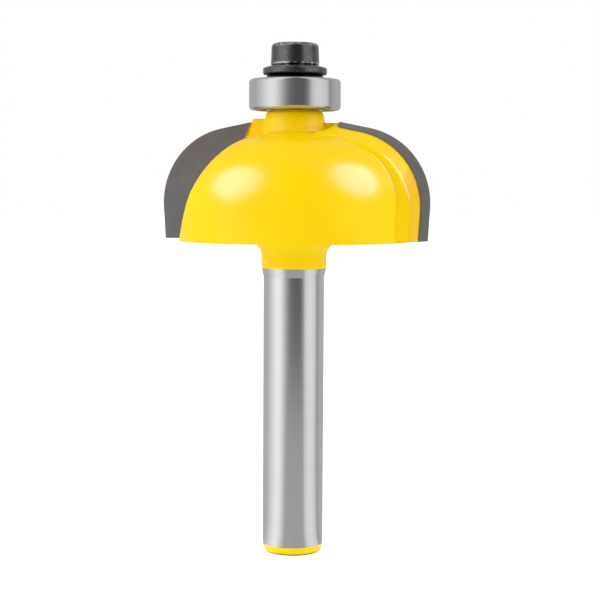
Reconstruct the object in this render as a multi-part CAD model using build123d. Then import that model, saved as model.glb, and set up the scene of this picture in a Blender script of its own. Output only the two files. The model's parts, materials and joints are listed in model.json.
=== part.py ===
from build123d import *
import os
from math import cos, radians, sin, tan

# Cove router bit with a ball-bearing pilot, in millimetres.
# It stands on the end of its shank with the pilot upwards. The origin is the centre of the shank's
# end face, and Z is the axis of rotation. Seen from the pilot end the bit turns anticlockwise, so the
# cutting face of the +X wing looks towards +Y and that of the -X wing towards -Y.

# Shank
SHANK_DIAMETER = 6.35            # a quarter inch, for the collet
SHANK_GROUND_LENGTH = 29.05      # end face to the start of the grinding run-out
RUNOUT_LENGTH = 0.9              # where the grinding wheel leaves the shank
END_CHAMFER_HEIGHT = 0.85
END_CHAMFER_DEPTH = 0.24
END_ROUND = 0.28

# Lower neck, between shank and head
NECK_DIAMETER = 6.78
NECK_LENGTH = 2.8
NECK_FILLET = 1.65

# Cutting profile
CUTTING_DIAMETER = 28.6
COVE_RADIUS = 7.9
PROFILE_CENTRE_HEIGHT = 4.0      # above the underside of the head
LEAD_ANGLE = 11.5                # slope of the profile where it starts beside the bearing
SIDE_TAPER = 3.2                 # the lower side runs inwards towards the shank

# Carbide tips
TIP_THICKNESS = 1.8
TIP_WIDTH = 4.2                  # from the cutting edge inwards, across the crescent
TIP_RAISE = 0.15                 # lower end of the tip above the underside of the head
TIP_INNER_SLANT = 18.5           # the inner end of the tip leans away from the axis
TIP_PROUD = 0.12                 # the ground face stands in front of the steel
RELIEF_INWARD = 0.36             # how far the relief falls inwards for each mm behind the edge
RELIEF_DOWN = 0.2                # and how far it falls downwards

# Wings and dome of the head
LAND_SETBACK = 0.1               # steel land below the relief of the tip
LAND_THICKNESS = 2.0             # steel behind the pocket of the tip
LAND_DOWN = 0.39                 # the land falls downwards more steeply there
LAND_ROUND = 0.45                # between the land and the back of the wing
BACK_DRAFT = 0.3                 # the back leans by this much for each mm that it falls
BACK_FALL = 2.1                  # it ends inside the dome
NECK_CLEARANCE_DIAMETER = 9.4    # the wings are turned away round the neck
WEB_THICKNESS = 0.6              # but for a web between the neck and the tip
BACKING_THICKNESS = 0.1          # and for a wall behind the pocket of the tip
BACKING_LENGTH = 0.5             # with this much steel at the inner end of the pocket
BODY_DIAMETER = 24.2
DOME_RADIUS = 7.0
DOME_DROP = 0.25                 # centre of the dome's arc below that of the cutting profile
UNDERSIDE_ROUND = 0.12

# Lip left standing beside the upper neck on one wing
LIP_HEIGHT = 0.35
LIP_REACH = 4.72
LIP_ROUND = 0.42

# Gullets, each a V-shaped groove that runs down and outwards in front of a cutting face
GULLET_ANGLE = 68.0              # between the cutting face and the heel of the other wing
GULLET_TILT = 36.3               # its root leans this far from the axis
GULLET_ROOT_R = 8.4              # distance of the root from the axis at the underside of the head
GULLET_ROOT_ROUND = 1.0

# Upper neck and the arbor for the bearing
UPPER_NECK_DIAMETER = 5.8
UPPER_NECK_CHAMFER = 0.34
UPPER_NECK_FLARE = 0.5           # the neck widens towards the dome by this much on the radius
UPPER_NECK_FILLET = 0.35
SHOULDER_ABOVE_PROFILE = 1.2     # bearing seat above the top of the cutting profile
ARBOR_CLEARANCE = 0.015
ARBOR_CHAMFER = 0.2
ARBOR_SHORT = 0.2                # the arbor ends below the bearing, so the washer clamps the ring

# Ball bearing, 3/16 x 3/8 x 1/8 inch
BEARING_BORE = 4.7625
BEARING_DIAMETER = 9.525
BEARING_WIDTH = 3.175
BALL_DIAMETER = 1.5875
BALL_COUNT = 8
BALL_PITCH_DIAMETER = 7.144
INNER_LAND_DIAMETER = 5.94
OUTER_LAND_DIAMETER = 8.26
RACE_CLEARANCE = 0.03
OUTER_CORNER = 0.36
BORE_CORNER = 0.15

# Shields of the bearing and the flat snap wires that hold them
SHIELD_DIAMETER = 8.56
SHIELD_BORE = 6.16
SHIELD_THICKNESS = 0.18
SHIELD_RECESS = 0.26             # outside of the shield below the face of the ring
SHIELD_CLEARANCE = 0.02
WIRE_WIDTH = 0.2
WIRE_HEIGHT = 0.18
WIRE_GAP_ANGLE = 32.0

# Cage of the bearing
CAGE_LAND_CLEARANCE = 0.13
CAGE_SIDE_CLEARANCE = 0.07
CAGE_TOP = 0.35                  # above the centre of the balls
POCKET_CLEARANCE = 0.05

# Dished shield washer
WASHER_DIAMETER = 6.65
WASHER_THICKNESS = 1.4
WASHER_BORE = 3.0
WASHER_FOOT_DIAMETER = 5.2
WASHER_FOOT_HEIGHT = 0.42
WASHER_RIM_LIFT = 0.48           # lower edge of the rim above the bearing
WASHER_RIM_HEIGHT = 0.66
WASHER_ROUND = 0.2

# Socket cap screw
SCREW_DIAMETER = 2.84
SCREW_LENGTH = 8.0
SCREW_HEAD_DIAMETER = 5.05
SCREW_HEAD_TAPER = 0.09          # the forged head narrows by this much on the radius
SCREW_HEAD_HEIGHT = 2.3
SCREW_HEAD_ROUND = 0.42
SCREW_FOOT_CHAMFER = 0.14
SCREW_END_CHAMFER = 0.35
SOCKET_ACROSS_FLATS = 2.38
SOCKET_DEPTH = 1.35
SOCKET_MOUTH_DIAMETER = 2.9

# Tapped hole for the screw, drawn plain like the screw's thread
THREAD_CLEARANCE = 0.03
HOLE_SPARE_DEPTH = 1.0
DRILL_POINT_ANGLE = 118.0

# Heights of the body
NECK_Z = SHANK_GROUND_LENGTH + RUNOUT_LENGTH
HEAD_Z = NECK_Z + NECK_LENGTH
TIP_Z = HEAD_Z + TIP_RAISE
PROFILE_Z = HEAD_Z + PROFILE_CENTRE_HEIGHT
DOME_Z = PROFILE_Z - DOME_DROP

# Radii
SHANK_R = SHANK_DIAMETER / 2
NECK_R = NECK_DIAMETER / 2
BODY_R = BODY_DIAMETER / 2
CUTTING_R = CUTTING_DIAMETER / 2
UPPER_NECK_R = UPPER_NECK_DIAMETER / 2
BEARING_R = BEARING_DIAMETER / 2
BORE_R = BEARING_BORE / 2
ARBOR_R = BORE_R - ARBOR_CLEARANCE
BALL_R = BALL_DIAMETER / 2
PITCH_R = BALL_PITCH_DIAMETER / 2
INNER_LAND_R = INNER_LAND_DIAMETER / 2
OUTER_LAND_R = OUTER_LAND_DIAMETER / 2
SHIELD_R = SHIELD_DIAMETER / 2
SHIELD_SEAT_R = SHIELD_R + SHIELD_CLEARANCE
SCREW_R = SCREW_DIAMETER / 2
SCREW_HEAD_R = SCREW_HEAD_DIAMETER / 2
HOLE_R = SCREW_R + THREAD_CLEARANCE
PROFILE_CENTRE_R = CUTTING_R - COVE_RADIUS
DOME_CENTRE_R = BODY_R - DOME_RADIUS
FLARE_R = UPPER_NECK_R + UPPER_NECK_FLARE
LEAD_SLOPE = tan(radians(LEAD_ANGLE))

# The cutting profile starts at the bearing's radius, at the upper end of its sloping lead
LEAD_FOOT_R = PROFILE_CENTRE_R + COVE_RADIUS * sin(radians(LEAD_ANGLE))
LEAD_FOOT_Z = PROFILE_Z + COVE_RADIUS * cos(radians(LEAD_ANGLE))
PROFILE_TOP_Z = LEAD_FOOT_Z + (LEAD_FOOT_R - BEARING_R) * LEAD_SLOPE

# Heights of what is stacked on the arbor
SHOULDER_Z = PROFILE_TOP_Z + SHOULDER_ABOVE_PROFILE
BEARING_MID_Z = SHOULDER_Z + BEARING_WIDTH / 2
BEARING_TOP_Z = SHOULDER_Z + BEARING_WIDTH
ARBOR_TOP_Z = BEARING_TOP_Z - ARBOR_SHORT
WASHER_TOP_Z = BEARING_TOP_Z + WASHER_THICKNESS
SCREW_TOP_Z = WASHER_TOP_Z + SCREW_HEAD_HEIGHT
SCREW_END_Z = WASHER_TOP_Z - SCREW_LENGTH
SHIELD_SEAT_DEPTH = SHIELD_RECESS + SHIELD_THICKNESS

# Ways in which a wing's section goes back from the cutting face
RELIEF = Vector(-RELIEF_INWARD, -1, -RELIEF_DOWN)
LAND = Vector(-RELIEF_INWARD, -1, -LAND_DOWN)
BACK = Vector(-1, -BACK_DRAFT, -1)

# Long enough to pass right through the head
THROUGH = 2 * CUTTING_DIAMETER


def polygon(*points):
    """A face from its corners."""
    return make_face(Polyline(*points, close=True))


def rounded(face, point, radius):
    """The face with the corner nearest to the point rounded."""
    return fillet(face.vertices().sort_by_distance(Vector(*point))[0], radius)


def bevelled(face, point, length):
    """The face with the corner nearest to the point cut off."""
    return chamfer(face.vertices().sort_by_distance(Vector(*point))[0], length)


def turned(section):
    """A solid turned about the axis from a section in radius and height."""
    return revolve(Plane.XZ * section, Axis.Z)


def rod(radius, bottom, top):
    """A cylinder on the axis between two heights."""
    return Pos(0, 0, (bottom + top) / 2) * Cylinder(radius, top - bottom)


def half_turn(shape):
    """The same shape on the other wing."""
    return Rot(0, 0, 180) * shape


def arc_point(centre_r, centre_z, radius, angle):
    """A point of an arc, with its angle counted up from the outward direction."""
    return (centre_r + radius * cos(radians(angle)), centre_z + radius * sin(radians(angle)))


def arc(centre_r, centre_z, radius, start, end):
    """An arc of a section between two angles."""
    angles = (start, (start + end) / 2, end)
    return ThreePointArc(*(arc_point(centre_r, centre_z, radius, angle) for angle in angles))


def cutting_section(inset, bottom):
    """The half section inside the cutting profile, from the axis out and from bottom up."""
    edge = arc(PROFILE_CENTRE_R, PROFILE_Z, COVE_RADIUS - inset, -SIDE_TAPER, 90 - LEAD_ANGLE)
    side_top, lead_foot = edge @ 0, edge @ 1
    side_foot_r = side_top.X - (side_top.Y - bottom) * tan(radians(SIDE_TAPER))
    lead_top_z = lead_foot.Y + (lead_foot.X - BEARING_R) * LEAD_SLOPE
    below = Polyline((0, bottom), (side_foot_r, bottom), side_top)
    above = Polyline(lead_foot, (BEARING_R, lead_top_z), (0, lead_top_z), (0, bottom))
    return make_face([below, edge, above])


def carried(section, way, times):
    """The solid that an upright section sweeps when it goes some way a number of times."""
    return extrude(Plane.XZ * section, amount=times * way.length, dir=way)


def tip_blank():
    """The crescent of carbide before its edge is ground, which is also the pocket for it."""
    inner = arc(PROFILE_CENTRE_R, PROFILE_Z, COVE_RADIUS - TIP_WIDTH, 90, 0)
    inner_top, inner_side = inner @ 0, inner @ 1
    slant = tan(radians(TIP_INNER_SLANT))
    outside_r = CUTTING_R + TIP_WIDTH
    above_z = PROFILE_TOP_Z + TIP_WIDTH
    end_top_r = BEARING_R - TIP_WIDTH * slant
    end_foot_r = BEARING_R + (PROFILE_TOP_Z - inner_top.Y) * slant
    outside = Polyline(
        inner_side, (inner_side.X, TIP_Z), (outside_r, TIP_Z), (outside_r, above_z), (end_top_r, above_z),
        (end_foot_r, inner_top.Y), inner_top)
    return extrude(Plane.XZ * make_face([inner, outside]), amount=TIP_THICKNESS, dir=(0, -1, 0))


def carbide_tip():
    """The tip of the +X wing, ground back behind its edge."""
    return tip_blank() & carried(cutting_section(0, TIP_Z - TIP_THICKNESS), RELIEF, 2 * TIP_THICKNESS)


def turned_body():
    """Shank, necks, dome and arbor as they come from the lathe."""
    dome = arc(DOME_CENTRE_R, DOME_Z, DOME_RADIUS, 0, 90 - LEAD_ANGLE)
    dome_top = dome @ 1
    neck_foot = (FLARE_R, dome_top.Y + (dome_top.X - FLARE_R) * LEAD_SLOPE)
    lower = Polyline(
        (0, 0), (SHANK_R - END_CHAMFER_DEPTH, 0), (SHANK_R, END_CHAMFER_HEIGHT),
        (SHANK_R, SHANK_GROUND_LENGTH), (NECK_R, NECK_Z), (NECK_R, HEAD_Z), (BODY_R, HEAD_Z), dome @ 0)
    upper = Polyline(
        dome_top, neck_foot, (UPPER_NECK_R, SHOULDER_Z), (ARBOR_R, SHOULDER_Z),
        (ARBOR_R, ARBOR_TOP_Z), (0, ARBOR_TOP_Z), (0, 0))
    section = make_face([lower, dome, upper])
    section = rounded(section, (SHANK_R - END_CHAMFER_DEPTH, 0), END_ROUND)
    section = rounded(section, (NECK_R, HEAD_Z), NECK_FILLET)
    section = rounded(section, (BODY_R, HEAD_Z), UNDERSIDE_ROUND)
    section = rounded(section, neck_foot, UPPER_NECK_FILLET)
    section = bevelled(section, (UPPER_NECK_R, SHOULDER_Z), UPPER_NECK_CHAMFER)
    section = bevelled(section, (ARBOR_R, ARBOR_TOP_Z), ARBOR_CHAMFER)
    return turned(section)


def ridge():
    """The land behind the cutting edge of the +X wing and the back that falls to the dome."""
    section = cutting_section(LAND_SETBACK, HEAD_Z)
    behind_tip = RELIEF * TIP_THICKNESS
    rear = behind_tip + LAND * LAND_THICKNESS
    solid = carried(section, RELIEF, TIP_THICKNESS)
    solid += Pos(*behind_tip) * carried(section, LAND, LAND_THICKNESS)
    solid += Pos(*rear) * carried(section, BACK, BACK_FALL)
    edges = solid.edges().filter_by_position(Axis.Y, rear.Y - 0.01, rear.Y + 0.01)
    edges = edges.filter_by_position(Axis.X, UPPER_NECK_R, CUTTING_R)
    edges = edges.filter_by_position(Axis.Z, HEAD_Z, SHOULDER_Z)
    return fillet(edges, LAND_ROUND) - rod(THROUGH, HEAD_Z - THROUGH, TIP_Z)


def slab(start_x, thickness):
    """The space within a thickness of the plane of the cutting faces, from some way along X."""
    return Pos(start_x + THROUGH / 2, 0, HEAD_Z) * Box(THROUGH, 2 * thickness, THROUGH)


def wing():
    """The ridge of the +X wing, turned away round the neck but for its web and the tip's backing."""
    backing = slab(BEARING_R - BACKING_LENGTH, TIP_THICKNESS + BACKING_THICKNESS)
    return ridge() - (rod(NECK_CLEARANCE_DIAMETER / 2, HEAD_Z, SHOULDER_Z) - slab(0, WEB_THICKNESS) - backing)


def lip():
    """The lip, placed as it would be on the +X wing."""
    top_z = PROFILE_TOP_Z + LIP_HEIGHT
    section = polygon((0, DOME_Z), (LIP_REACH, DOME_Z), (LIP_REACH, top_z), (0, top_z))
    section = rounded(section, (LIP_REACH, top_z), LIP_ROUND)
    return extrude(Plane.XZ * section, amount=WEB_THICKNESS, dir=(0, -1, 0))


def gullet():
    """The groove in front of the +X wing's cutting face, which leaves the neck standing."""
    tilt = radians(GULLET_TILT)
    opening = radians(GULLET_ANGLE)
    root = Plane(
        origin=(GULLET_ROOT_R, 0, HEAD_Z), x_dir=(cos(tilt), 0, sin(tilt)), z_dir=(sin(tilt), 0, -cos(tilt)))
    corner = (0, TIP_PROUD)
    section = polygon(
        corner, (THROUGH, TIP_PROUD), (THROUGH, -THROUGH), (THROUGH * cos(opening), -THROUGH * sin(opening)))
    section = rounded(section, corner, GULLET_ROOT_ROUND)
    groove = extrude(root * section, amount=THROUGH, both=True)
    head = rod(THROUGH, HEAD_Z - UNDERSIDE_ROUND, SHOULDER_Z)
    return (groove & head) - rod(FLARE_R, HEAD_Z, SHOULDER_Z)


def screw_hole():
    """The tapped hole down the arbor, with the point left by the drill."""
    foot_z = SCREW_END_Z - HOLE_SPARE_DEPTH
    point_z = foot_z - HOLE_R / tan(radians(DRILL_POINT_ANGLE / 2))
    return turned(polygon((0, ARBOR_TOP_Z), (HOLE_R, ARBOR_TOP_Z), (HOLE_R, foot_z), (0, point_z)))


def bit_body():
    """The steel body with its wings, gullets, tip pockets and the tapped hole."""
    body = turned_body() + wing() + half_turn(wing() + lip())
    cut = gullet() + tip_blank()
    return body - cut - half_turn(cut) - screw_hole()


def ball_groove():
    """The ring that the balls sweep, which both races are ground to."""
    return turned(Pos(PITCH_R, BEARING_MID_Z) * Circle(BALL_R + RACE_CLEARANCE))


def ring_section(inner_r, outer_r):
    """The plain half section of a bearing ring between two radii."""
    return Pos((inner_r + outer_r) / 2, BEARING_MID_Z) * Rectangle(outer_r - inner_r, BEARING_WIDTH)


def inner_ring():
    """The inner ring, clamped between the shoulder of the body and the washer."""
    section = ring_section(BORE_R, INNER_LAND_R)
    section = bevelled(section, (BORE_R, SHOULDER_Z), BORE_CORNER)
    section = bevelled(section, (BORE_R, BEARING_TOP_Z), BORE_CORNER)
    return turned(section) - ball_groove()


def outer_ring():
    """The outer ring, which runs along the work, with a seat for a shield at each end."""
    section = ring_section(OUTER_LAND_R, BEARING_R)
    section = rounded(section, (BEARING_R, SHOULDER_Z), OUTER_CORNER)
    section = rounded(section, (BEARING_R, BEARING_TOP_Z), OUTER_CORNER)
    lower_seat = rod(SHIELD_SEAT_R, SHOULDER_Z, SHOULDER_Z + SHIELD_SEAT_DEPTH)
    upper_seat = rod(SHIELD_SEAT_R, BEARING_TOP_Z - SHIELD_SEAT_DEPTH, BEARING_TOP_Z)
    return turned(section) - lower_seat - upper_seat - ball_groove()


def ball(index):
    """One ball, with the index counted round the bearing from the +X side."""
    return Rot(0, 0, 360 * index / BALL_COUNT) * Pos(PITCH_R, 0, BEARING_MID_Z) * Sphere(BALL_R)


def cage():
    """The crown cage, whose pockets open upwards and spring over the balls."""
    foot_z = SHOULDER_Z + SHIELD_SEAT_DEPTH + CAGE_SIDE_CLEARANCE
    top_z = BEARING_MID_Z + CAGE_TOP
    crown = rod(OUTER_LAND_R - CAGE_LAND_CLEARANCE, foot_z, top_z)
    crown -= rod(INNER_LAND_R + CAGE_LAND_CLEARANCE, foot_z, top_z)
    for index in range(BALL_COUNT):
        pocket = Pos(PITCH_R, 0, BEARING_MID_Z) * Sphere(BALL_R + POCKET_CLEARANCE)
        crown -= Rot(0, 0, 360 * index / BALL_COUNT) * pocket
    return crown


def shield(bottom_z):
    """A shield, pressed against its seat in the outer ring and clear of the inner one."""
    top_z = bottom_z + SHIELD_THICKNESS
    return rod(SHIELD_R, bottom_z, top_z) - rod(SHIELD_BORE / 2, bottom_z, top_z)


def snap_wire(bottom_z):
    """A split ring of flat wire that springs outwards in the seat and holds the shield in."""
    centre = Pos(SHIELD_SEAT_R - WIRE_WIDTH / 2, bottom_z + WIRE_HEIGHT / 2)
    section = Plane.XZ * centre * Rectangle(WIRE_WIDTH, WIRE_HEIGHT)
    return revolve(section, Axis.Z, revolution_arc=360 - WIRE_GAP_ANGLE)


def washer():
    """The dished washer, which bears on the inner ring only and shields the bearing from dust."""
    foot_z = BEARING_TOP_Z + WASHER_FOOT_HEIGHT
    rim_r = WASHER_DIAMETER / 2
    rim_foot_z = BEARING_TOP_Z + WASHER_RIM_LIFT
    rim_top_z = rim_foot_z + WASHER_RIM_HEIGHT
    section = polygon(
        (WASHER_BORE / 2, BEARING_TOP_Z), (WASHER_FOOT_DIAMETER / 2, BEARING_TOP_Z),
        (WASHER_FOOT_DIAMETER / 2, foot_z), (rim_r, rim_foot_z), (rim_r, rim_top_z),
        (SCREW_HEAD_R, WASHER_TOP_Z), (WASHER_BORE / 2, WASHER_TOP_Z))
    section = rounded(section, (rim_r, rim_foot_z), WASHER_ROUND)
    section = rounded(section, (rim_r, rim_top_z), WASHER_ROUND)
    return turned(section)


def socket():
    """The hexagon socket with its conical mouth and the point left by the drill."""
    flat_r = SOCKET_ACROSS_FLATS / 2
    mouth_r = SOCKET_MOUTH_DIAMETER / 2
    floor_z = SCREW_TOP_Z - SOCKET_DEPTH
    point_z = floor_z - flat_r / tan(radians(DRILL_POINT_ANGLE / 2))
    hexagon = Pos(0, 0, floor_z) * RegularPolygon(flat_r, 6, major_radius=False)
    mouth = turned(polygon(
        (0, SCREW_TOP_Z), (mouth_r, SCREW_TOP_Z), (flat_r, SCREW_TOP_Z - (mouth_r - flat_r)),
        (0, SCREW_TOP_Z - (mouth_r - flat_r))))
    drilled = turned(polygon((0, SCREW_TOP_Z), (flat_r, SCREW_TOP_Z), (flat_r, floor_z), (0, point_z)))
    return extrude(hexagon, amount=SOCKET_DEPTH) + mouth + drilled


def cap_screw():
    """The socket cap screw that holds washer and bearing on the arbor."""
    top_r = SCREW_HEAD_R - SCREW_HEAD_TAPER
    section = polygon(
        (0, SCREW_END_Z), (SCREW_R, SCREW_END_Z), (SCREW_R, WASHER_TOP_Z), (SCREW_HEAD_R, WASHER_TOP_Z),
        (top_r, SCREW_TOP_Z), (0, SCREW_TOP_Z))
    section = bevelled(section, (SCREW_R, SCREW_END_Z), SCREW_END_CHAMFER)
    section = bevelled(section, (SCREW_HEAD_R, WASHER_TOP_Z), SCREW_FOOT_CHAMFER)
    section = rounded(section, (top_r, SCREW_TOP_Z), SCREW_HEAD_ROUND)
    return turned(section) - socket()


def export(name, shape):
    """Writes one sub-part to its own file."""
    export_step(shape, f"parts/{name}.step")


os.makedirs("parts", exist_ok=True)
export("bit_body", bit_body())
export("carbide_tip_right", carbide_tip())
export("carbide_tip_left", half_turn(carbide_tip()))
export("bearing_inner_ring", inner_ring())
export("bearing_outer_ring", outer_ring())
export("bearing_cage", cage())
for index in range(BALL_COUNT):
    export(f"bearing_ball_{index + 1}", ball(index))
export("bearing_lower_shield", shield(SHOULDER_Z + SHIELD_RECESS))
export("bearing_upper_shield", shield(BEARING_TOP_Z - SHIELD_SEAT_DEPTH))
export("bearing_lower_wire", snap_wire(SHOULDER_Z + SHIELD_RECESS - WIRE_HEIGHT))
export("bearing_upper_wire", snap_wire(BEARING_TOP_Z - SHIELD_RECESS))
export("washer", washer())
export("cap_screw", cap_screw())
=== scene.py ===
"""A cove router bit with a pilot bearing: its finishes, its small details and a plain studio."""

import json
import logging
from dataclasses import dataclass
from enum import Enum
from math import cos, radians, sin, tan
from typing import Any, Optional, Union

import bpy
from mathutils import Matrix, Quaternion, Vector


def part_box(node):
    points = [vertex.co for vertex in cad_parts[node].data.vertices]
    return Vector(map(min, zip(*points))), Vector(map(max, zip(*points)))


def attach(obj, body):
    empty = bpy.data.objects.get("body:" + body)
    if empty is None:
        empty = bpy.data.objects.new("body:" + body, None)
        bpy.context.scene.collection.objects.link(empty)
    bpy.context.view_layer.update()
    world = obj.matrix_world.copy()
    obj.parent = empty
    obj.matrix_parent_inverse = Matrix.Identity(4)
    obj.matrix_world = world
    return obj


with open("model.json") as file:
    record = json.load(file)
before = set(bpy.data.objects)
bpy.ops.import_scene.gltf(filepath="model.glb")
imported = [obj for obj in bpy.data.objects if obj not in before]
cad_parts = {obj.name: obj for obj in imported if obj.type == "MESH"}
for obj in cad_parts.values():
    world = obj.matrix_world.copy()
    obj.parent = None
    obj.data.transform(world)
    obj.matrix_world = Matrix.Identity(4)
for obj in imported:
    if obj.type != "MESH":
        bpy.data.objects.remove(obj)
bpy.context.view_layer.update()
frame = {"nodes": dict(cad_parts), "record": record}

MM = 0.001
LOG = logging.getLogger("router_bit")

# Two corners closer than this are one, and faces that meet at less than this angle look smooth
WELD = 0.001 * MM
SMOOTH_ANGLE = radians(50.0)

# Brightness of the room at angles round from the camera, to its right, in degrees
ROOM = (
    (-180, 0.5), (-128, 0.58), (-112, 0.62), (-92, 0.86), (-76, 1.1), (-62, 1.26), (-50, 1.14),
    (-42, 0.92), (-30, 0.58), (-22, 0.38), (-12, 0.22), (0, 0.16), (20, 0.15), (28, 0.2),
    (36, 0.4), (43, 0.82), (52, 0.96), (66, 1.03), (84, 0.9), (92, 0.8), (96, 0.4),
    (100, 0.36), (106, 0.5), (120, 0.59), (180, 0.5))

# The ramp that holds them ends at 1, so it holds them as shares of this
ROOM_PEAK = 1.3

# Power per width times height at which an elliptical soft box is as bright as a white wall
WALL_POWER = 2.47

WHITE = (1.0, 1.0, 1.0, 1.0)

Triple = tuple[float, float, float]
Colour = Triple
Number = Union["Signal", float]
Socket = bpy.types.NodeSocket
Settings = Optional[dict[str, Any]]
Values = Optional[dict[Union[str, int], Any]]


def linear(red: int, green: int, blue: int) -> Colour:
    """Turns a colour on the 0 to 255 screen scale into light.

    Args:
        red: The red channel.
        green: The green channel.
        blue: The blue channel.

    Returns:
        The three channels in linear light.
    """
    shares = (channel / 255 for channel in (red, green, blue))
    return tuple(s / 12.92 if s <= 0.04045 else ((s + 0.055) / 1.055) ** 2.4 for s in shares)


class Signal:
    """A number that varies over a surface, on which Python's operators add the shader's nodes."""

    def __init__(self, shader: "Shader", socket: Socket) -> None:
        """Keeps the shader it belongs to and the socket that gives it."""
        self.shader = shader
        self.socket = socket

    def __add__(self, other: Number) -> "Signal":
        """Adds."""
        return self.shader.maths("ADD", self, other)

    __radd__ = __add__

    def __sub__(self, other: Number) -> "Signal":
        """Subtracts the other from this."""
        return self.shader.maths("SUBTRACT", self, other)

    def __rsub__(self, other: Number) -> "Signal":
        """Subtracts this from the other."""
        return self.shader.maths("SUBTRACT", other, self)

    def __mul__(self, other: Number) -> "Signal":
        """Multiplies."""
        return self.shader.maths("MULTIPLY", self, other)

    def __pow__(self, other: Number) -> "Signal":
        """Raises this to a power."""
        return self.shader.maths("POWER", self, other)

    def __abs__(self) -> "Signal":
        """Drops the sign."""
        return self.shader.maths("ABSOLUTE", self)

    def higher_of(self, other: Number) -> "Signal":
        """The higher of two numbers."""
        return self.shader.maths("MAXIMUM", self, other)

    def rise(self, low: float, high: float) -> "Signal":
        """A smooth step.

        Args:
            low: Where the step starts from 0.
            high: Where it reaches 1. It may be the lower of the two, for a step that falls.

        Returns:
            A number from 0 to 1.
        """
        settings = {"interpolation_type": "SMOOTHSTEP"}
        values = {"Value": self, "From Min": low, "From Max": high}
        return self.shader.signal("ShaderNodeMapRange", "Result", settings, values)

    def spread(self, low: float, high: float) -> "Signal":
        """Stretches a number from 0 to 1 over another span.

        Args:
            low: What 0 becomes.
            high: What 1 becomes.

        Returns:
            The stretched number.
        """
        return self * (high - low) + low


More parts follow.
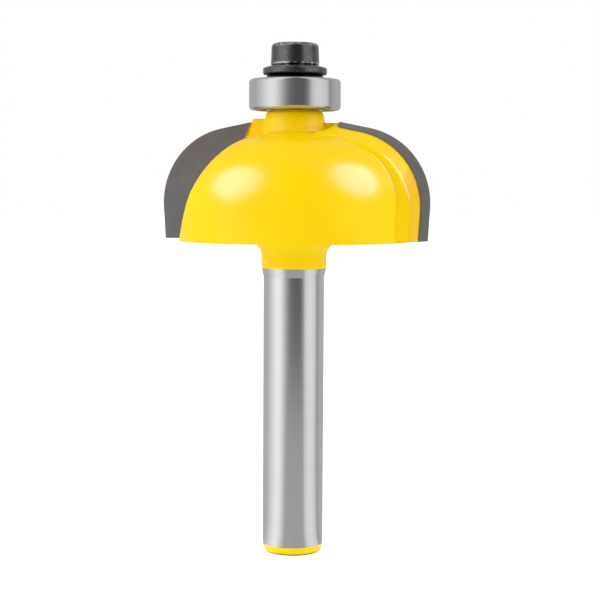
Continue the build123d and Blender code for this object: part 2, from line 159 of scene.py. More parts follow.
class Shader:
    """The node tree of one material or of the world, written as expressions."""

    def __init__(self, owner: Union[bpy.types.Material, bpy.types.World]) -> None:
        """Empties the owner's node tree and keeps it."""
        owner.use_nodes = True
        self.owner = owner
        self.tree = owner.node_tree
        self.tree.nodes.clear()

    def node(self, kind: str, settings: Settings = None, values: Values = None) -> bpy.types.Node:
        """Adds one node.

        Args:
            kind: The node's type.
            settings: Its own settings, set first. "stops" gives a ramp its places and colours.
            values: What each input socket holds, a Signal, an output socket or a constant.

        Returns:
            The node.
        """
        made = self.tree.nodes.new(kind)
        for name, value in (settings or {}).items():
            if name == "stops":
                self._set_stops(made.color_ramp, value)
            else:
                setattr(made, name, value)
        for name, value in (values or {}).items():
            socket = made.inputs[name]
            if isinstance(value, Signal):
                value = value.socket
            if isinstance(value, Socket):
                self.tree.links.new(value, socket)
            else:
                socket.default_value = value
        return made

    @staticmethod
    def _set_stops(ramp: bpy.types.ColorRamp, stops: list[tuple[float, Colour]]) -> None:
        """Gives a ramp its places and colours."""
        while len(ramp.elements) < len(stops):
            ramp.elements.new(1.0)
        for element, (place, colour) in zip(ramp.elements, stops):
            element.position = place
            element.color = (*colour, 1.0)

    def signal(self, kind: str, output: str, settings: Settings = None,
               values: Values = None) -> Signal:
        """Adds a node and takes one of its outputs as a number.

        Args:
            kind: The node's type.
            output: The name of the output.
            settings: As in node.
            values: As in node.

        Returns:
            The output.
        """
        return Signal(self, self.node(kind, settings, values).outputs[output])

    def maths(self, operation: str, *numbers: Number) -> Signal:
        """Adds a Math node for one operation on numbers."""
        values = dict(enumerate(numbers))
        return self.signal("ShaderNodeMath", "Value", {"operation": operation}, values)

    def place(self, stretch: Triple = (1.0, 1.0, 1.0)) -> Socket:
        """Where the surface is, in millimetres.

        Args:
            stretch: How many times closer together a pattern is along each axis.

        Returns:
            The place as a vector socket.
        """
        coordinates = self.node("ShaderNodeTexCoord").outputs["Object"]
        values = {"Vector": coordinates, "Scale": tuple(s / MM for s in stretch)}
        return self.node("ShaderNodeMapping", values=values).outputs["Vector"]

    def axes(self) -> tuple[Signal, Signal, Signal]:
        """The three coordinates of the surface, in millimetres."""
        parts = self.node("ShaderNodeSeparateXYZ", values={"Vector": self.place()})
        return tuple(Signal(self, parts.outputs[name]) for name in "XYZ")

    def facing(self) -> tuple[Signal, Signal, Signal]:
        """How far the surface faces along each axis, either way."""
        normal = self.node("ShaderNodeNewGeometry").outputs["Normal"]
        parts = self.node("ShaderNodeSeparateXYZ", values={"Vector": normal})
        return tuple(abs(Signal(self, parts.outputs[name])) for name in "XYZ")

    def noise(self, per_mm: float, detail: float = 3.0,
              stretch: Triple = (1.0, 1.0, 1.0)) -> Signal:
        """Cloudy noise from 0 to 1.

        Args:
            per_mm: How many clouds lie on a millimetre.
            detail: How many finer octaves are added.
            stretch: How many times closer together the pattern is along each axis.

        Returns:
            The noise.
        """
        values = {"Vector": self.place(stretch), "Scale": per_mm, "Detail": detail}
        return self.signal("ShaderNodeTexNoise", "Fac", values=values)

    def blend(self, share: Number, first: Any, second: Any) -> Socket:
        """Mixes two colours.

        Args:
            share: 0 gives the first colour and 1 the second.
            first: A colour or a colour socket.
            second: A colour or a colour socket.

        Returns:
            The mixed colour's socket.
        """
        colours = [(*c, 1.0) if isinstance(c, tuple) else c for c in (first, second)]
        # Among the node's sockets, 6, 7 and 2 are the ones for colours
        values = {0: share, 6: colours[0], 7: colours[1]}
        return self.node("ShaderNodeMix", {"data_type": "RGBA"}, values).outputs[2]

    def mix(self, share: Union[Signal, Socket], first: Socket, second: Socket) -> Socket:
        """Mixes two surfaces, where 0 gives the first and 1 the second."""
        values = {0: share, 1: first, 2: second}
        return self.node("ShaderNodeMixShader", values=values).outputs[0]

    def metal(self, colour: Socket, roughness: Signal, normal: Socket) -> Socket:
        """A surface of bare metal.

        Args:
            colour: What it reflects.
            roughness: How far its gloss spreads, from 0 to 1.
            normal: The normal, with its bumps.

        Returns:
            The surface's socket.
        """
        values = {"Base Color": colour, "Metallic": 1.0, "Roughness": roughness, "Normal": normal}
        return self.node("ShaderNodeBsdfPrincipled", values=values).outputs["BSDF"]

    def bump(self, height: Signal, depth: float, under: Optional[Socket] = None) -> Socket:
        """A bumpy normal.

        Args:
            height: The height of the bumps, from 0 to 1.
            depth: What a height of 1 means, in millimetres.
            under: A normal that the bumps lie on.

        Returns:
            The normal's socket.
        """
        values: dict[str, Any] = {"Height": height, "Strength": 1.0, "Distance": depth * MM}
        if under is not None:
            values["Normal"] = under
        return self.node("ShaderNodeBump", values=values).outputs["Normal"]

    def soft_edges(self, radius: float) -> Socket:
        """A normal that rounds the edges by a radius in millimetres."""
        values = {"Radius": radius * MM}
        return self.node("ShaderNodeBevel", {"samples": 8}, values).outputs["Normal"]

    def finish(self, surface: Socket) -> None:
        """Sends a surface to the output."""
        owner = "World" if isinstance(self.owner, bpy.types.World) else "Material"
        self.node(f"ShaderNodeOutput{owner}", values={"Surface": surface})


class Metal(Enum):
    """The bare metals of the bit, by the colour each reflects."""

    GROUND_STEEL = (0.67, 0.667, 0.665)
    BEARING_STEEL = (0.63, 0.63, 0.635)
    SHIELD_STEEL = (0.50, 0.50, 0.505)
    CARBIDE = (0.262, 0.258, 0.255)
    BALL_STEEL = (0.70, 0.70, 0.71)


def new_shader(name: str) -> Shader:
    """An empty shader for a material of that name."""
    return Shader(bpy.data.materials.new(name))


@dataclass(frozen=True)
class Paint:
    """Gloss enamel, sprayed on and baked.

    Attributes:
        colour: The paint's own colour.
        shade: A slightly deeper colour where the coat runs thick.
        gloss: Roughness of the smooth coat.
        shine: Strength of its gloss.
        sheen: The tint of its gloss.
        peel: Depth of the orange peel, in millimetres.
        edge: The radius that the coat gives every edge, in millimetres.
        low: A greener colour below the head, painted to offset the yellow light that the head
            bounces onto it.
        low_z: The height under which it starts, in millimetres.
        contact_shade: Painted shade, a dark brown on the edge that the bit stands on.
        contact_shade_z: How far up that painted shade reaches, in millimetres.
        land_shade: Painted shade, a deeper colour out on the lands where they face sideways.
        land_shade_radius: Distance from the axis at which the painted shade starts, in
            millimetres.
        land_shade_feather: Half the width over which it starts, in millimetres.
        matt_z: The height above which the spray lies thin and dull, in millimetres.
        matt_feather: Half the height over which it turns dull, in millimetres.
        matt_gloss: How much rougher the dull spray is.
        matt_shine: Strength of its gloss.
    """

    colour: Colour = linear(255, 216, 0)
    shade: Colour = linear(253, 210, 0)
    gloss: float = 0.25
    shine: float = 0.13
    sheen: Colour = (1.0, 0.28, 1.0)
    peel: float = 0.0012
    edge: float = 0.45
    low: Colour = linear(246, 217, 0)
    low_z: float = 32.7
    contact_shade: Colour = linear(120, 88, 10)
    contact_shade_z: float = 0.3
    land_shade: Colour = linear(238, 190, 0)
    land_shade_radius: float = 12.5
    land_shade_feather: float = 0.15
    matt_z: float = 44.1
    matt_feather: float = 0.2
    matt_gloss: float = 0.2
    matt_shine: float = 0.04

    def surface(self, shader: Shader) -> Socket:
        """Adds the paint to a shader.

        Args:
            shader: The shader of the painted piece.

        Returns:
            The surface's socket.
        """
        clouds = shader.noise(0.16, 2.0)
        fine = shader.noise(1.6, 2.0)
        peel = shader.noise(0.9, 1.0)
        across, along, height = shader.axes()
        outward = (across * across + along * along) ** 0.5
        dull = height.rise(self.matt_z - self.matt_feather, self.matt_z + self.matt_feather)
        coat = shader.blend(clouds.rise(0.35, 0.7), self.colour, self.shade)
        # Painted light: below the head the colour is made greener, against the yellow light
        # bounced from the head
        coat = shader.blend(height.rise(self.low_z, self.low_z - 0.3), coat, self.low)
        # Painted shade: the bottom edge, where the bit meets the floor, turns dark brown
        coat = shader.blend((height + fine * 0.1).rise(self.contact_shade_z, 0.12), coat, self.contact_shade)
        # Painted shade: out past a radius, the faces that turn sideways take a deeper colour
        sideways = shader.facing()[0].rise(0.3, 0.7)
        land_shaded = outward.rise(
            self.land_shade_radius - self.land_shade_feather, self.land_shade_radius + self.land_shade_feather) * sideways
        colour = shader.blend(land_shaded, coat, self.land_shade)
        normal = shader.bump(peel, self.peel, shader.soft_edges(self.edge))
        coats = ((self.gloss, self.shine), (self.gloss + self.matt_gloss, self.matt_shine))
        baked, dusty = (shader.node("ShaderNodeBsdfPrincipled", values={
            "Base Color": colour,
            "Roughness": fine.spread(gloss - 0.03, gloss + 0.03),
            "Specular IOR Level": shine,
            "Specular Tint": (*self.sheen, 1.0),
            "Normal": normal,
        }).outputs["BSDF"] for gloss, shine in coats)
        return shader.mix(dull, baked, dusty)


@dataclass(frozen=True)
class TurnedSteel:
    """Bare steel, turned or ground round the axis.

    Attributes:
        metal: What it reflects.
        gloss: Roughness between the grinding lines.
        line_depth: Depth of the lines, in millimetres.
        lines_per_mm: How close together they are along the axis.
        banding: How much of its brightness the metal keeps in a dark line.
        edge: The radius of its broken edges, in millimetres.
    """

    metal: Metal = Metal.GROUND_STEEL
    gloss: float = 0.14
    line_depth: float = 0.00025
    lines_per_mm: float = 7.0
    banding: float = 0.92
    edge: float = 0.06

    def surface(self, shader: Shader) -> Socket:
        """Adds the steel to a shader.

        Args:
            shader: The shader of the piece.

        Returns:
            The surface's socket.
        """
        lines = shader.noise(1.0, 3.0, (0.05, 0.05, self.lines_per_mm))
        bands = shader.noise(1.0, 2.0, (0.03, 0.03, 0.8))
        smears = shader.noise(0.7, 3.0, (1.0, 1.0, 0.12))
        dark = tuple(self.banding * channel for channel in self.metal.value)
        shares = ((lines, 0.3), (bands, 0.25), (smears, 0.45))
        light = sum(pattern.rise(0.3, 0.7) * share for pattern, share in shares)
        colour = shader.blend(light, dark, self.metal.value)
        roughness = smears.spread(self.gloss - 0.05, self.gloss + 0.05) + lines * 0.06
        normal = shader.bump(lines, self.line_depth, shader.soft_edges(self.edge))
        return shader.metal(colour, roughness, normal)

    def material(self, name: str) -> bpy.types.Material:
        """A material of this finish alone."""
        shader = new_shader(name)
        shader.finish(self.surface(shader))
        return shader.owner


@dataclass(frozen=True)
class GroundCarbide:
    """Cemented carbide, ground on its faces and stained where it was brazed.

    Attributes:
        metal: What it reflects.
        stain: The brown of the heated flux.
        gloss: Roughness between the scratches.
        scratch_depth: Depth of the grinding scratches, in millimetres.
        scratch_tone: How much of its brightness the carbide keeps in the scratches.
        heat_z: The heights between which the stain gains strength, in millimetres.
        edge: The radius of its broken edges, in millimetres.
    """

    metal: Metal = Metal.CARBIDE
    stain: Colour = linear(144, 120, 107)
    gloss: float = 0.34
    scratch_depth: float = 0.0015
    scratch_tone: float = 0.8
    heat_z: tuple[float, float] = (35.0, 44.0)
    edge: float = 0.04

    def material(self, name: str) -> bpy.types.Material:
        """The finish as a material.

        Args:
            name: The material's name.

        Returns:
            The material.
        """
        shader = new_shader(name)
        scratches = shader.noise(1.0, 3.0, (9.0, 9.0, 0.7))
        clouds = shader.noise(0.5, 4.0)
        heated = shader.axes()[2].rise(*self.heat_z).spread(0.1, 0.5)
        stained = shader.noise(0.33, 3.0).rise(0.4, 0.66) * heated
        dark = tuple(self.scratch_tone * channel for channel in self.metal.value)
        light = scratches.rise(0.3, 0.7) * 0.5 + clouds.rise(0.3, 0.7) * 0.5
        grey = shader.blend(light, dark, self.metal.value)
        shader.finish(shader.metal(
            shader.blend(stained, grey, self.stain),
            clouds.spread(self.gloss - 0.06, self.gloss + 0.08),
            shader.bump(scratches, self.scratch_depth, shader.soft_edges(self.edge))))
        return shader.owner


@dataclass(frozen=True)
class BlackOxide:
    """Steel blackened in a hot salt bath and oiled.

    Attributes:
        black: The colour of the oxide.
        worn: The colour where handling has thinned it.
        bare: The colour of the lighter rims, partly wear through to the steel and partly painted
            highlight.
        rims: The heights of those rims, in millimetres.
        foot_shade: Painted shade, a near black at the foot under the rim.
        foot_shade_z: The height up to which the painted shade reaches, in millimetres.
        gloss: Roughness of the oiled surface.
        grain: Depth of its turning lines and pits, in millimetres.
        edge: The radius of its broken edges, in millimetres.
    """

    black: Colour = (0.13, 0.13, 0.133)
    worn: Colour = (0.2, 0.198, 0.196)
    bare: Colour = (0.55, 0.545, 0.54)
    rims: tuple[float, ...] = ()
    foot_shade: Colour = (0.008, 0.008, 0.008)
    foot_shade_z: float = 0.0
    gloss: float = 0.15
    grain: float = 0.0004
    edge: float = 0.08

    def material(self, name: str) -> bpy.types.Material:
        """The finish as a material.

        Args:
            name: The material's name.

        Returns:
            The material.
        """
        shader = new_shader(name)
        specks = shader.noise(3.0, 4.0)
        lines = shader.noise(1.0, 2.0, (0.1, 0.1, 9.0))
        height = shader.axes()[2]
        oxide = shader.blend(specks.rise(0.5, 0.8), self.black, self.worn)
        patchy = shader.noise(1.9, 4.0).rise(0.42, 0.56)
        # Painted highlight and wear: the rims are lightened towards bare steel
        for rim in self.rims:
            rim_mark = abs(height - rim).rise(0.2, 0.05) * patchy
            oxide = shader.blend(rim_mark * 0.9, oxide, self.bare)
        # Painted shade: the foot, under the rim, is darkened to near black
        foot_shaded = height.rise(self.foot_shade_z, self.foot_shade_z - 0.3)
        shader.finish(shader.metal(
            shader.blend(foot_shaded, oxide, self.foot_shade),
            specks.spread(self.gloss - 0.05, self.gloss + 0.07),
            shader.bump(lines + specks, self.grain, shader.soft_edges(self.edge))))
        return shader.owner


@dataclass
class SteelBody:
    """The bar from which shank, head and arbor are cut, painted between its bare ends.

    Attributes:
        node: The CAD node.
        runout: Where the grinding wheel leaves the shank, above its ground length.
        wander: How far the paint's edges stray, as the other lengths in millimetres.
        seat_fade: How far below the bearing's seat the paint stops and is whole.
        end_fade: Half the height over which the paint of the shank's end stops.
    """

    node: str = "bit_body"
    runout: float = 0.9
    wander: float = 0.05
    seat_fade: tuple[float, float] = (0.02, 0.08)
    end_fade: float = 0.03

    def __post_init__(self) -> None:
        """Takes the heights of the paint's edges from the frame."""
        shank = next(m for m in frame["record"]["mounts"] if m["name"] == "shank")
        half = shank["dims"]["length_mm"] / 2
        middle = shank["pos_m"][2] / MM
        self.end_paint_z = middle - half
        self.neck_paint_z = middle + half + self.runout
        self.bearing_seat_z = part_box("bearing_inner_ring")[0].z / MM

    def material(self) -> bpy.types.Material:
        """Paint over bare steel.

        Returns:
            One material, because the body is one piece.
        """
        shader = new_shader("painted_steel_body")
        height = shader.axes()[2]
        ragged = shader.noise(1.5, 3.0).spread(-self.wander, self.wander)
        above_neck = (height + ragged).rise(
            self.neck_paint_z - self.wander, self.neck_paint_z + self.wander)
        below_seat = (height + ragged).rise(
            *(self.bearing_seat_z - fade for fade in self.seat_fade))
        on_end = (height + ragged * 0.5).rise(
            self.end_paint_z + self.end_fade, self.end_paint_z - self.end_fade)
        painted = (above_neck * below_seat).higher_of(on_end)
        steel = TurnedSteel().surface(shader)
        paint = Paint().surface(shader)
        shader.finish(shader.mix(painted, steel, paint))
        return shader.owner

    def build(self) -> None:
        """Dresses the body."""
        dress(self.node, self.material())


@dataclass(frozen=True)
class Braze:
    """Silver solder that has run out beside a tip and set.

    Attributes:
        colour: What the solder reflects.
        tarnish: The colour where flux has left it dull.
        gloss: Roughness of the clean solder.
        dullness: How much rougher the tarnish is.
        ripple: Depth of its ripples, in millimetres.
    """

    colour: Colour = (0.86, 0.82, 0.74)
    tarnish: Colour = (0.6, 0.53, 0.42)
    gloss: float = 0.28
    dullness: float = 0.25
    ripple: float = 0.02

    def material(self, name: str) -> bpy.types.Material:
        """The finish as a material.

        Args:
            name: The material's name.

        Returns:
            The material.
        """
        shader = new_shader(name)
        beads = shader.noise(1.6, 3.0)
        dull = beads.rise(0.4, 0.65)
        shader.finish(shader.metal(
            shader.blend(dull, self.colour, self.tarnish),
            dull.spread(self.gloss, self.gloss + self.dullness),
            shader.bump(beads, self.ripple)))
        return shader.owner


@dataclass
class CarbideTips:
    """The two brazed crescents that do the cutting, and the solder along their inner edges.

    Attributes:
        nodes: The tips' CAD nodes.
        bead_radius: Of the solder's section, in metres, as the other lengths are.
        sunk: How far the solder's middle lies below the tip's cutting face.
        centre_r: Distance from the bit's axis to the centre of the tip's round profile.
        centre_z: Height of that centre.
        inner_radius: Of the tip's inner edge about that centre.
        foot_z: Where the solder ends below.
        waist: Radius and height at which the inner edge turns up beside the neck.
        crown: Radius and height at which the solder ends above.
    """

    nodes: tuple[str, str] = ("carbide_tip_left", "carbide_tip_right")
    bead_radius: float = 0.16 * MM
    sunk: float = 0.12 * MM
    centre_r: float = 6.4 * MM
    centre_z: float = 36.75 * MM
    inner_radius: float = 3.7 * MM
    foot_z: float = 32.95 * MM
    waist: tuple[float, float] = (6.4 * MM, 40.45 * MM)
    crown: tuple[float, float] = (4.9 * MM, 44.75 * MM)

    def build_bead(self) -> bpy.types.Object:
        """Models the solder beside the right tip.

        Returns:
            The bead, as one closed round string.
        """
        bpy.ops.object.select_all(action="DESELECT")
        start_r = self.centre_r + self.inner_radius
        bpy.ops.mesh.primitive_circle_add(
            vertices=8, radius=self.bead_radius, fill_type="NGON",
            location=(start_r, -self.sunk, self.foot_z))
        bead = bpy.context.active_object
        bead.name = "braze_right"
        bpy.ops.object.transform_apply(location=True, rotation=True, scale=True)
        bpy.ops.object.mode_set(mode="EDIT")
        bpy.ops.mesh.select_all(action="SELECT")
        bpy.ops.mesh.extrude_region_move(
            TRANSFORM_OT_translate={"value": (0.0, 0.0, self.centre_z - self.foot_z)})
        bpy.ops.mesh.spin(
            steps=20, angle=radians(90.0), axis=(0.0, 1.0, 0.0),
            center=(self.centre_r, -self.sunk, self.centre_z))
        rise = (self.crown[0] - self.waist[0], 0.0, self.crown[1] - self.waist[1])
        bpy.ops.mesh.extrude_region_move(TRANSFORM_OT_translate={"value": rise})
        bpy.ops.mesh.select_all(action="SELECT")
        bpy.ops.mesh.remove_doubles(threshold=WELD)
        bpy.ops.mesh.normals_make_consistent(inside=False)
        bpy.ops.mesh.select_all(action="DESELECT")
        bpy.ops.object.mode_set(mode="OBJECT")
        return bead

    def opposite(self, bead: bpy.types.Object) -> bpy.types.Object:
        """Copies the bead to the other tip, half a turn round the axis.

        Args:
            bead: The bead of the right tip.

        Returns:
            The other bead.
        """
        bpy.ops.object.select_all(action="DESELECT")
        bead.select_set(True)
        bpy.context.view_layer.objects.active = bead
        bpy.ops.object.duplicate(linked=False)
        other = bpy.context.active_object
        other.name = "braze_left"
        bpy.ops.transform.rotate(
            value=radians(180.0), orient_axis="Z", center_override=(0.0, 0.0, 0.0))
        bpy.ops.object.transform_apply(location=True, rotation=True, scale=True)
        return other

    def build(self) -> None:
        """Dresses both tips and lays the solder beside them."""
        finish = GroundCarbide().material("ground_carbide")
        for node in self.nodes:
            dress(node, finish)
        solder = Braze().material("silver_solder")
        bead = self.build_bead()
        for piece in (bead, self.opposite(bead)):
            coat(piece, solder)
            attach(piece, "bit")
            LOG.info("%s is laid", piece.name)


@dataclass
class PilotBearing:
    """The shielded ball bearing that runs along the work."""

    rings: tuple[str, str] = ("bearing_inner_ring", "bearing_outer_ring")
    shields: tuple[str, str] = ("bearing_lower_shield", "bearing_upper_shield")
    wires: tuple[str, str] = ("bearing_lower_wire", "bearing_upper_wire")
    cage: str = "bearing_cage"
    balls: int = 8

    def build(self) -> None:
        """Dresses every piece of the bearing."""
        ground = TurnedSteel(
            Metal.BEARING_STEEL, gloss=0.14, line_depth=0.00012, lines_per_mm=6.0, banding=0.93,
        ).material("bearing_steel")
        pressed = TurnedSteel(
            Metal.SHIELD_STEEL, gloss=0.3, line_depth=0.0008, lines_per_mm=5.0,
        ).material("shield_steel")
        polished = TurnedSteel(
            Metal.BALL_STEEL, gloss=0.08, line_depth=0.0002, lines_per_mm=4.0,
        ).material("ball_steel")
        for node in self.rings:
            dress(node, ground)
        for node in (*self.shields, *self.wires, self.cage):
            dress(node, pressed)
        for index in range(self.balls):
            dress(f"bearing_ball_{index + 1}", polished)


@dataclass
class Clamp:
    """The washer and the cap screw that hold the bearing, and a ring of painted shade under them.

    Attributes:
        washer: The washer's CAD node.
        screw: The screw's CAD node.
        foot_height: Of the washer's foot below its rim, in millimetres.
        washer_bright_rim_depth: How far below the washer's top its lighter rim lies, partly wear
            and partly painted highlight, in millimetres.
        screw_bright_rim_depth: How far below the screw's top its lighter rim lies, in millimetres.
        foot_bright_rim_height: How far above the washer the screw's lighter foot lies, in
            millimetres.
        shade_ring_lift: Of the painted shade ring above the inner ring, in metres.
        shade_ring_r: Distance from the axis to the middle of the ring's section, in metres.
        shade_ring_radius: Of that section.
    """

    washer: str = "washer"
    screw: str = "cap_screw"
    foot_height: float = 0.62
    washer_bright_rim_depth: float = 0.12
    screw_bright_rim_depth: float = 0.2
    foot_bright_rim_height: float = 0.16
    shade_ring_lift: float = 0.01 * MM
    shade_ring_r: float = 2.71 * MM
    shade_ring_radius: float = 0.23 * MM

    def build_shade_ring(self) -> None:
        """Models a near-black ring round the washer's foot, on the inner ring, as painted shade.
        """
        bpy.ops.object.select_all(action="DESELECT")
        middle_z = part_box(self.washer)[0].z + self.shade_ring_radius + self.shade_ring_lift
        bpy.ops.mesh.primitive_circle_add(
            vertices=12, radius=self.shade_ring_radius, fill_type="NOTHING",
            location=(self.shade_ring_r, 0.0, middle_z), rotation=(radians(90.0), 0.0, 0.0))
        ring = bpy.context.active_object
        ring.name = "shade_ring"
        bpy.ops.object.transform_apply(location=True, rotation=True, scale=True)
        bpy.ops.object.mode_set(mode="EDIT")
        bpy.ops.mesh.select_all(action="SELECT")
        bpy.ops.mesh.spin(
            steps=72, angle=radians(360.0), axis=(0.0, 0.0, 1.0), center=(0.0, 0.0, middle_z))
        bpy.ops.mesh.select_all(action="SELECT")
        bpy.ops.mesh.remove_doubles(threshold=WELD)
        bpy.ops.mesh.normals_make_consistent(inside=False)
        bpy.ops.object.mode_set(mode="OBJECT")
        # Painted shade: a near-black ring stands in the gap under the washer's rim, where shade
        # falls
        shade_finish = BlackOxide(black=(0.01, 0.01, 0.01), worn=(0.03, 0.028, 0.025), gloss=0.35)
        coat(ring, shade_finish.material("painted_shade_ring"))
        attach(ring, "bit")
        LOG.info("%s is laid", ring.name)

    def build(self) -> None:
        """Dresses washer and screw and lays the ring of painted shade."""
        foot, crown = (corner.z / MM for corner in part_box(self.washer))
        # Painted shade darkens the washer's foot, under its rim, up to foot_height
        washer = BlackOxide(
            rims=(crown - self.washer_bright_rim_depth,), foot_shade_z=foot + self.foot_height, gloss=0.24)
        dress(self.washer, washer.material("black_washer"))
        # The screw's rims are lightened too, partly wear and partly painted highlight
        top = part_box(self.screw)[1].z / MM
        screw = BlackOxide(rims=(top - self.screw_bright_rim_depth, crown + self.foot_bright_rim_height))
        dress(self.screw, screw.material("black_screw"))
        self.build_shade_ring()


def dress(node: str, material: bpy.types.Material) -> None:
    """Gives a CAD node its finish.

    Args:
        node: The node's name.
        material: The finish.
    """
    mesh = frame["nodes"][node].data
    mesh.materials.clear()
    mesh.materials.append(material)
    LOG.info("%s is dressed in %s", node, material.name)


def coat(piece: bpy.types.Object, material: bpy.types.Material) -> None:
    """Smooths a new piece and gives it its finish.

    Args:
        piece: The piece.
        material: The finish.
    """
    bpy.ops.object.select_all(action="DESELECT")
    piece.select_set(True)
    bpy.context.view_layer.objects.active = piece
    bpy.ops.object.shade_smooth_by_angle(angle=SMOOTH_ANGLE)
    piece.data.materials.clear()
    piece.data.materials.append(material)


@dataclass(frozen=True)
class SoftBox:
    """One elliptical lamp that faces the bit.

    Attributes:
        name: The lamp's name.
        azimuth: Degrees round from the camera, to its right.
        elevation: Degrees above the horizon.
        size: Width and height of the box, in metres.
        power: In watts.
        distance: From the head of the bit, in metres.
    """

    name: str
    azimuth: float
    elevation: float
    size: tuple[float, float]
    power: float
    distance: float = 0.36


LAMPS = (
    SoftBox("lamp_left", -72.0, 18.0, (0.2, 0.2), 0.31),
    SoftBox("lamp_right", 72.0, 22.0, (0.2, 0.2), 0.28),
    SoftBox("lamp_top", 0.0, 78.0, (0.4, 0.4), 0.25, 0.45),
)


@dataclass
class Studio:
    """Floor, world, lamps and camera.

    Attributes:
        azimuth: Where the camera stands round the bit, in degrees from the -Y side.
        distance: From the bit's axis to the camera.
        height: Of the camera above the floor.
        pitch: How far the camera looks down, in degrees.
        roll: How far the camera leans, in degrees.
        aside: How far the camera looks past the axis, in degrees to the right.
        focal_length: Of the lens on a 36 mm sensor, in millimetres.
        floor_size: Length of the floor's sides.
        floor_tone: How much light the floor gives back.
        floor_glow: Light it adds towards the camera, so that it is white beside the shadow.
        floor_mirror: How bright the floor is near the bit, as its metal reflects it.
        floor_reach: Distances at which that brightness has gone and is whole.
        ambient: The even light from all round.
        wall_light: Light from the walls, as a share of what the gloss reflects of them.
        table_glow: Light that comes up through the table.
        gleam: How bright the boxes are that gleam in the paint, where 1 is a white wall.
    """

    azimuth: float = 13.4
    distance: float = 157 * MM
    height: float = 38.1 * MM
    pitch: float = 4.2
    roll: float = 0.33
    aside: float = 0.238
    focal_length: float = 90.0
    floor_size: float = 4.0
    floor_tone: float = 0.82
    floor_glow: float = 0.62
    floor_mirror: float = 0.5
    floor_reach: tuple[float, float] = (0.3, 0.05)
    ambient: float = 0.17
    wall_light: float = 0.9
    table_glow: float = 0.28
    gleam: float = 26.0

    def __post_init__(self) -> None:
        """Works out the directions towards the camera and to its right."""
        turn = radians(self.azimuth)
        self.toward_camera = Vector((sin(turn), -cos(turn), 0.0))
        self.right = Vector((cos(turn), sin(turn), 0.0))

    def direction(self, azimuth: float, elevation: float) -> Vector:
        """A direction from the bit.

        Args:
            azimuth: Degrees round from the camera, to its right.
            elevation: Degrees above the horizon.

        Returns:
            A unit vector.
        """
        turn, lift = radians(azimuth), radians(elevation)
        level = self.toward_camera * cos(turn) + self.right * sin(turn)
        return level * cos(lift) + Vector((0.0, 0.0, sin(lift)))

    def build_camera(self) -> None:
        """Stands the camera where the photograph was taken from."""
        data = bpy.data.cameras.new("camera")
        data.sensor_width = 36.0
        data.lens = self.focal_length
        data.clip_start, data.clip_end = 0.005, 20.0
        camera = bpy.data.objects.new("camera", data)
        bpy.context.scene.collection.objects.link(camera)
        camera.location = self.toward_camera * self.distance + Vector((0.0, 0.0, self.height))
        target = self.right * (self.distance * tan(radians(self.aside)))
        target.z = self.height - self.distance * tan(radians(self.pitch))
        look = (target - camera.location).to_track_quat("-Z", "Y")
        camera.rotation_mode = "QUATERNION"
        camera.rotation_quaternion = look @ Quaternion((0.0, 0.0, 1.0), radians(self.roll))
        bpy.context.scene.camera = camera

    def build_floor(self) -> None:
        """Lays a pale floor that is white to the camera and keeps the bit's shadow."""
        bpy.ops.mesh.primitive_plane_add(size=self.floor_size, location=(0.0, 0.0, 0.0))
        floor = bpy.context.active_object
        floor.name = "floor"
        shader = new_shader("pale_floor")
        path = shader.node("ShaderNodeLightPath")
        seen = Signal(shader, path.outputs["Is Camera Ray"])
        mirrored = path.outputs["Is Glossy Ray"]
        spot = shader.node("ShaderNodeTexCoord").outputs["Object"]
        away = shader.signal("ShaderNodeVectorMath", "Value", {"operation": "LENGTH"}, {0: spot})
        near = away.rise(*self.floor_reach)
        tone = (self.floor_tone,) * 3
        matt = shader.node("ShaderNodeBsdfDiffuse", values={"Color": (*tone, 1.0)})
        lit = shader.node("ShaderNodeEmission", values={
            "Color": WHITE, "Strength": seen.spread(self.table_glow, self.floor_glow)})
        table = shader.node("ShaderNodeAddShader", values={0: matt.outputs[0], 1: lit.outputs[0]})
        mirror_light = self.walls(shader, spot).higher_of(near * self.floor_mirror)
        mirror_image = shader.node("ShaderNodeEmission", values={
            "Color": WHITE, "Strength": mirror_light})
        shader.finish(shader.mix(mirrored, table.outputs[0], mirror_image.outputs[0]))
        floor.data.materials.append(shader.owner)

    def along(self, shader: Shader, gaze: Socket, axis: Vector) -> Signal:
        """How far a direction points along an axis."""
        values = {0: gaze, 1: tuple(axis)}
        return shader.signal("ShaderNodeVectorMath", "Value", {"operation": "DOT_PRODUCT"}, values)

    def walls(self, shader: Shader, gaze: Socket) -> Signal:
        """How bright the room is all round the bit, as its bearing reflects it.

        Args:
            shader: The shader that asks.
            gaze: The direction from the bit.

        Returns:
            The brightness, where 1 is a white wall.
        """
        front = self.along(shader, gaze, self.toward_camera)
        side = self.along(shader, gaze, self.right)
        turn = shader.maths("ARCTAN2", side, front) * (1 / radians(360)) + 0.5
        stops = [(angle / 360 + 0.5, (bright / ROOM_PEAK,) * 3) for angle, bright in ROOM]
        ramp = shader.signal("ShaderNodeValToRGB", "Color", {"stops": stops}, {"Fac": turn})
        return ramp * ROOM_PEAK

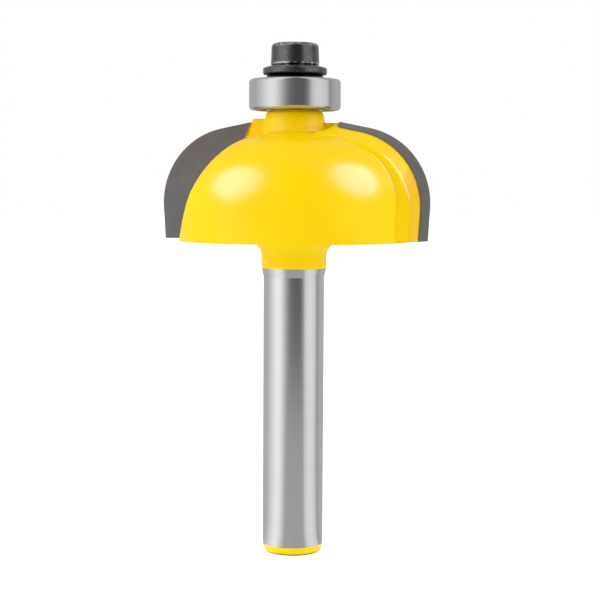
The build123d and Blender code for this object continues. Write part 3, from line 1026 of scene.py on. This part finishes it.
    def build_world(self) -> None:
        """Surrounds the bit with an even light and a room for its metal and gloss to reflect."""
        world = bpy.data.worlds.new("studio")
        bpy.context.scene.world = world
        shader = Shader(world)
        gaze = shader.node("ShaderNodeTexCoord").outputs["Generated"]
        room = self.walls(shader, gaze)
        path = shader.node("ShaderNodeLightPath")
        glossy = Signal(shader, path.outputs["Is Glossy Ray"])
        camera = Signal(shader, path.outputs["Is Camera Ray"])
        scattered = room * self.wall_light + self.ambient
        strength = camera + (1 - camera) * (glossy * room + (1 - glossy) * scattered)
        shader.finish(shader.node("ShaderNodeBackground", values={
            "Color": WHITE, "Strength": strength}).outputs[0])

    def build_lamp(self, box: SoftBox) -> bpy.types.Object:
        """Hangs one soft box.

        Args:
            box: What it is and where it hangs.

        Returns:
            The lamp.
        """
        data = bpy.data.lights.new(box.name, "AREA")
        data.shape = "ELLIPSE"
        data.size, data.size_y = box.size
        data.energy = box.power
        lamp = bpy.data.objects.new(box.name, data)
        bpy.context.scene.collection.objects.link(lamp)
        way = self.direction(box.azimuth, box.elevation)
        lamp.location = way * box.distance + Vector((0.0, 0.0, self.height))
        lamp.visible_glossy = False
        lamp.rotation_mode = "QUATERNION"
        lamp.rotation_quaternion = (-way).to_track_quat("-Z", "Y")
        return lamp

    def build_gleam(self, name: str, azimuth: float, elevation: float,
                    size: tuple[float, float]) -> None:
        """Hangs a soft box that only gleams on the painted body and adds no light.

        Args:
            name: The lamp's name.
            azimuth: Degrees round from the camera, to its right.
            elevation: Degrees above the horizon.
            size: Width and height of the box.
        """
        power = self.gleam * WALL_POWER * size[0] * size[1]
        lamp = self.build_lamp(SoftBox(name, azimuth, elevation, size, power))
        lamp.visible_glossy = True
        lamp.visible_diffuse = False
        painted = bpy.data.collections.new(f"{name}_receivers")
        painted.objects.link(frame["nodes"][SteelBody.node])
        lamp.light_linking.receiver_collection = painted

    def build(self) -> None:
        """Builds the whole studio."""
        bpy.ops.object.select_all(action="DESELECT")
        self.build_camera()
        self.build_floor()
        self.build_world()
        for box in LAMPS:
            self.build_lamp(box)
        self.build_gleam("gleam_left", -66.0, 31.0, (0.3, 0.31))
        self.build_gleam("gleam_right", 75.0, 36.0, (0.28, 0.3))
        bpy.context.scene.view_settings.view_transform = "Standard"


def main() -> None:
    """Builds the studio and dresses the bit, piece by piece."""
    logging.basicConfig(level=logging.INFO, format="%(message)s")
    Studio().build()
    for assembly in (SteelBody(), CarbideTips(), PilotBearing(), Clamp()):
        assembly.build()
        LOG.info("%s is ready", type(assembly).__name__)


if __name__ == "__main__":
    main()
